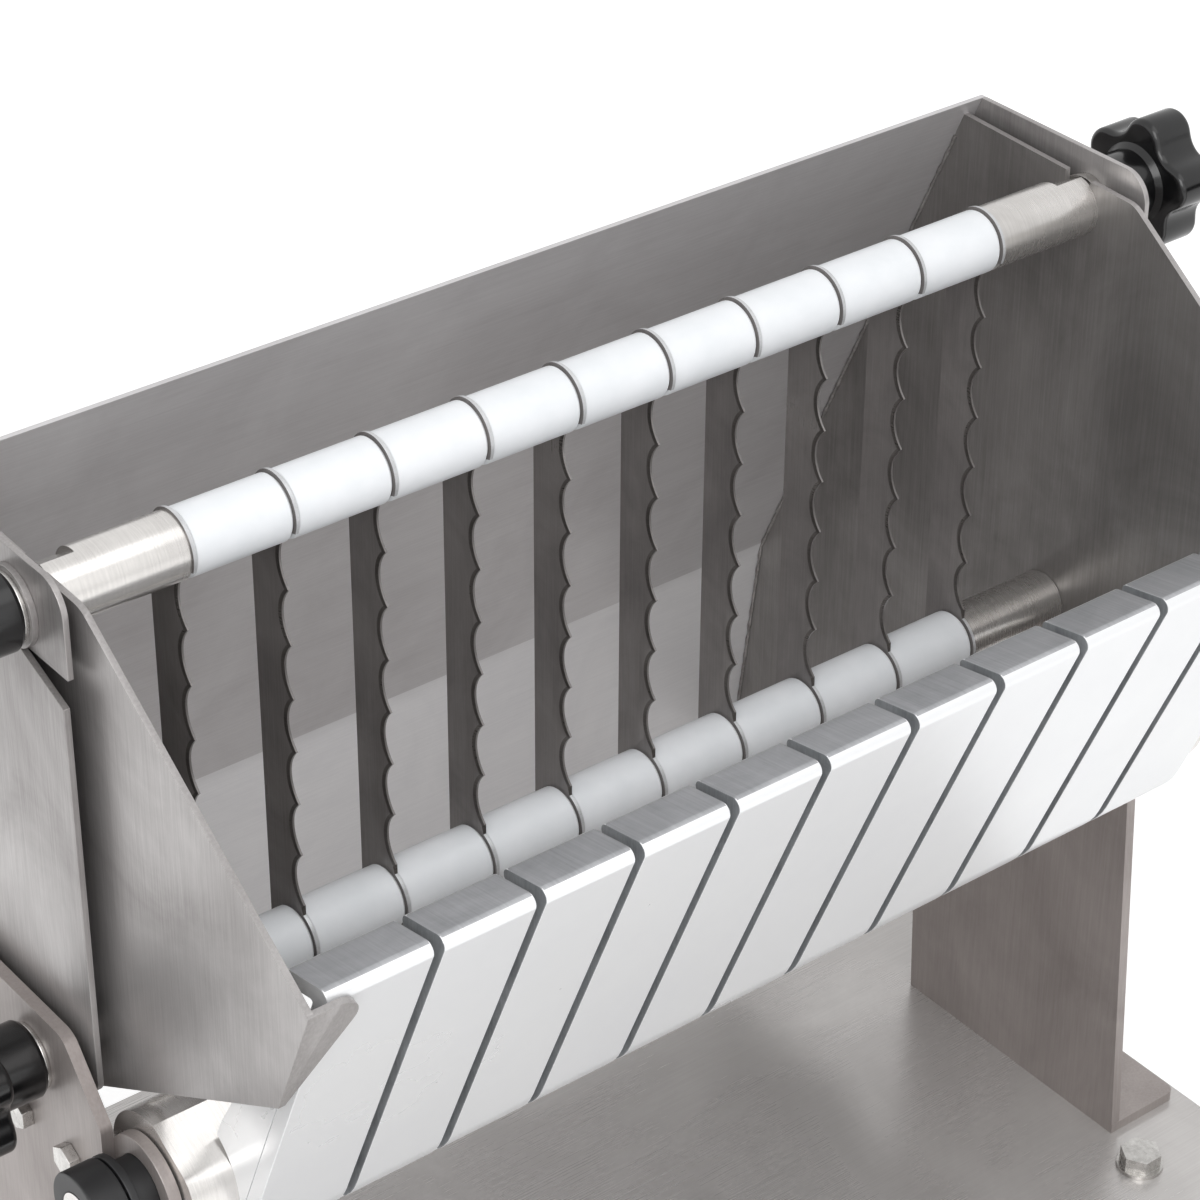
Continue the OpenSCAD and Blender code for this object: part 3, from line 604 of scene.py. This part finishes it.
def star_knob(node, hub_x, z, turn):
    """Moulded knob: lobes with soft rims, a sunk face with a boss, and a hub that flares into them."""
    piece = star_blank(turn)
    round_rims(piece)
    choose(piece)
    bpy.ops.object.mode_set(mode="EDIT")
    bpy.ops.mesh.select_mode(type="FACE")
    sink_face(piece)
    draw_hub(piece)
    bpy.ops.mesh.select_all(action="SELECT")
    bpy.ops.mesh.normals_make_consistent(inside=False)
    bpy.ops.object.mode_set(mode="OBJECT")
    join_boss(piece)
    side = 1 if hub_x > 0 else -1
    piece.data.transform(Matrix.Rotation(math.radians(90 * side), 4, "Y"))
    piece.data.transform(Matrix.Translation(spot(hub_x, 0, z)))
    smooth(piece, 28)
    finish(piece, node + "_star", node, KNOB_BLACK, (node,))


# Each knob was tightened by hand, so each star stands at its own turn, in degrees
for side, name, upper_turn, lower_turn in ((-1, "left", 170, 130), (1, "right", 30, 0)):
    star_knob(f"upper_{name}_knob", side * UPPER_HUB_X, 0.0, upper_turn)
    star_knob(f"lower_{name}_knob", side * LOWER_HUB_X, -ROD_DROP, lower_turn)


def barrel_profile():
    """Half of the grip's lengthwise section: places along it and radii."""
    profile = [(0.0, GRIP_BORE_R), *GRIP_NEAR_END]
    for k in range(BARREL_STEPS + 1):
        share = k / BARREL_STEPS
        swell = math.sin(math.pi * share ** BARREL_LEAN)
        profile.append((BARREL_FROM + share * (BARREL_TO - BARREL_FROM),
                        BARREL_END_R + (BARREL_R - BARREL_END_R) * swell))
    return [*profile, *GRIP_FAR_END, (GRIP_FAR_END[-1][0], GRIP_BORE_R)]


def crank_grip():
    """Revolving grip: a barrel with a bead and a groove at each end, turned from a profile."""
    choose_none()
    bpy.ops.mesh.primitive_plane_add(size=MM)
    piece = bpy.context.object
    bpy.ops.object.mode_set(mode="EDIT")
    bpy.ops.mesh.delete(type="VERT")
    mesh = bmesh.from_edit_mesh(piece.data)
    ring = [mesh.verts.new((x * MM, 0, r * MM)) for x, r in barrel_profile()]
    for k, vert in enumerate(ring):
        mesh.edges.new((vert, ring[(k + 1) % len(ring)]))
        vert.select_set(True)
    mesh.select_flush(True)
    bmesh.update_edit_mesh(piece.data)
    bpy.ops.mesh.spin(steps=GRIP_SIDES, angle=2 * math.pi, center=(0, 0, 0), axis=(1, 0, 0))
    bpy.ops.mesh.select_all(action="SELECT")
    bpy.ops.mesh.remove_doubles(threshold=0.01 * MM)
    bpy.ops.mesh.normals_make_consistent(inside=False)
    bpy.ops.object.mode_set(mode="OBJECT")
    y = JAW_AXIS[0] - CRANK_LEN * math.sin(JAW_LEAN)
    z = JAW_AXIS[1] + CRANK_LEN * math.cos(JAW_LEAN)
    piece.data.transform(Matrix.Translation(spot(GRIP_IN, y, z)))
    smooth(piece, 35)
    finish(piece, "barrel_grip", "grip", KNOB_BLACK, ("crank_grip",))


crank_grip()


def weld_bead(name, points):
    """A weld seam: a thin bead whose width comes and goes as the torch moved."""
    curve = bpy.data.curves.new(name, "CURVE")
    curve.dimensions = "3D"
    curve.bevel_depth = WELD_R * MM
    curve.bevel_resolution = 2
    curve.use_fill_caps = True
    route = []
    for start, end in zip(points, points[1:]):
        steps = max(2, int((end - start).length / (WELD_STEP * MM)))
        route += [start.lerp(end, k / steps) for k in range(steps)]
    route.append(points[-1])
    line = curve.splines.new("POLY")
    line.points.add(len(route) - 1)
    for k, place in enumerate(route):
        line.points[k].co = (*place, 1.0)
        wave = WELD_WAVE_SHARE * math.sin(k * 1.9)
        ripple = WELD_RIPPLE_SHARE * math.sin(k * 4.7 + 1.0)
        line.points[k].radius = WELD_MEAN_SHARE + wave + ripple
    piece = bpy.data.objects.new(name, curve)
    bpy.context.scene.collection.objects.link(piece)
    choose(piece)
    bpy.ops.object.convert(target="MESH")
    piece = bpy.context.object
    smooth(piece, 60)
    finish(piece, name, "frame", WELD_STEEL)


for side, name in ((-1, "left"), (1, "right")):
    x = side * (WALL_IN - WELD_SINK)
    weld_bead(name + "_corner_weld", [spot(x, y, z) for y, z in HOOD_CORNER])


# Stage, light and camera

def seen_rays(nodes):
    """1 for what the camera sees, also in metal and through clear pieces, and 0 for other light."""
    path = add(nodes, "ShaderNodeLightPath")
    either = add(nodes, "ShaderNodeMath", {"operation": "MAXIMUM"}, {
        0: path.outputs["Is Camera Ray"], 1: path.outputs["Is Glossy Ray"]})
    any_of_them = add(nodes, "ShaderNodeMath", {"operation": "MAXIMUM"}, {
        0: either.outputs[0], 1: path.outputs["Is Transmission Ray"]})
    return any_of_them.outputs[0]


def pale_surface(name, colour, glow):
    """A pale surface that glows a little where it is seen, so that it comes near the white behind."""
    material, nodes, shader, place = shaded(name)
    grain = add(nodes, "ShaderNodeTexNoise", sockets={"Vector": place, "Scale": 3.0, "Detail": 2.0})
    tone = add(nodes, "ShaderNodeValToRGB", sockets={"Fac": grain.outputs[0]})
    tone.color_ramp.elements[0].color = linear(colour)
    tone.color_ramp.elements[1].color = linear("#ffffff")
    nodes.id_data.links.new(tone.outputs[0], shader.inputs["Base Color"])
    shader.inputs["Roughness"].default_value = 0.9
    light = add(nodes, "ShaderNodeMath", {"operation": "MULTIPLY"}, {0: seen_rays(nodes), 1: glow})
    shader.inputs["Emission Color"].default_value = (1, 1, 1, 1)
    nodes.id_data.links.new(light.outputs[0], shader.inputs["Emission Strength"])
    return material


# The stage's sizes and places are in metres, since the camera and lamps stand far from the machine
FLOOR_SIZE = 8.0
MIDDLE = (0.0, 0.0, 0.15)
CAMERA_PLACE = (-0.48275, -0.5433, 0.6807)
CAMERA_AIM = (0.5196, 0.6618, -0.5404)
CAMERA_ROLL = 0.00616
CAMERA_LENS = 107.4
SENSOR = 36.0

choose_none()
bpy.ops.mesh.primitive_plane_add(size=FLOOR_SIZE, location=(0, 0, 0))
floor = bpy.context.object
floor.name = "floor"
floor.data.materials.append(pale_surface("pale_floor", "#f4f4f4", 0.4))

world = bpy.data.worlds.new("studio")
bpy.context.scene.world = world
world.use_nodes = True
sky = world.node_tree.nodes
sky.clear()
level = add(sky, "ShaderNodeMapRange", sockets={"Value": seen_rays(sky), "To Min": 0.66, "To Max": 1.0})
back = add(sky, "ShaderNodeBackground", sockets={"Color": (1, 1, 1, 1), "Strength": level.outputs[0]})
add(sky, "ShaderNodeOutputWorld", sockets={"Surface": back.outputs[0]})


def soft_lamp(name, place, size, power):
    lamp = bpy.data.lights.new(name, "AREA")
    lamp.shape = "RECTANGLE"
    lamp.size, lamp.size_y = size
    lamp.energy = power
    stand = bpy.data.objects.new(name, lamp)
    stand.location = place
    stand.rotation_euler = (Vector(MIDDLE) - Vector(place)).to_track_quat("-Z", "Y").to_euler()
    bpy.context.scene.collection.objects.link(stand)


soft_lamp("front_softbox", (-0.2, -1.3, 0.8), (1.2, 0.8), 1.5)
soft_lamp("top_softbox", (0.1, -0.6, 1.4), (1.2, 0.8), 2.6)
soft_lamp("side_softbox", (-1.3, 0.3, 0.9), (0.8, 0.8), 0.5)
soft_lamp("fill_by_the_camera", (-0.55, -0.64, 0.88), (0.6, 0.6), 3.7)

eye = bpy.data.cameras.new("photo_camera")
eye.lens = CAMERA_LENS
eye.sensor_width = SENSOR
eye.clip_start = 0.01
camera = bpy.data.objects.new("photo_camera", eye)
camera.location = CAMERA_PLACE
aim = Vector(CAMERA_AIM).to_track_quat("-Z", "Y").to_matrix().to_4x4()
camera.rotation_euler = (aim @ Matrix.Rotation(CAMERA_ROLL, 4, "Z")).to_euler()
bpy.context.scene.collection.objects.link(camera)
bpy.context.scene.camera = camera
bpy.context.scene.view_settings.view_transform = "Standard"
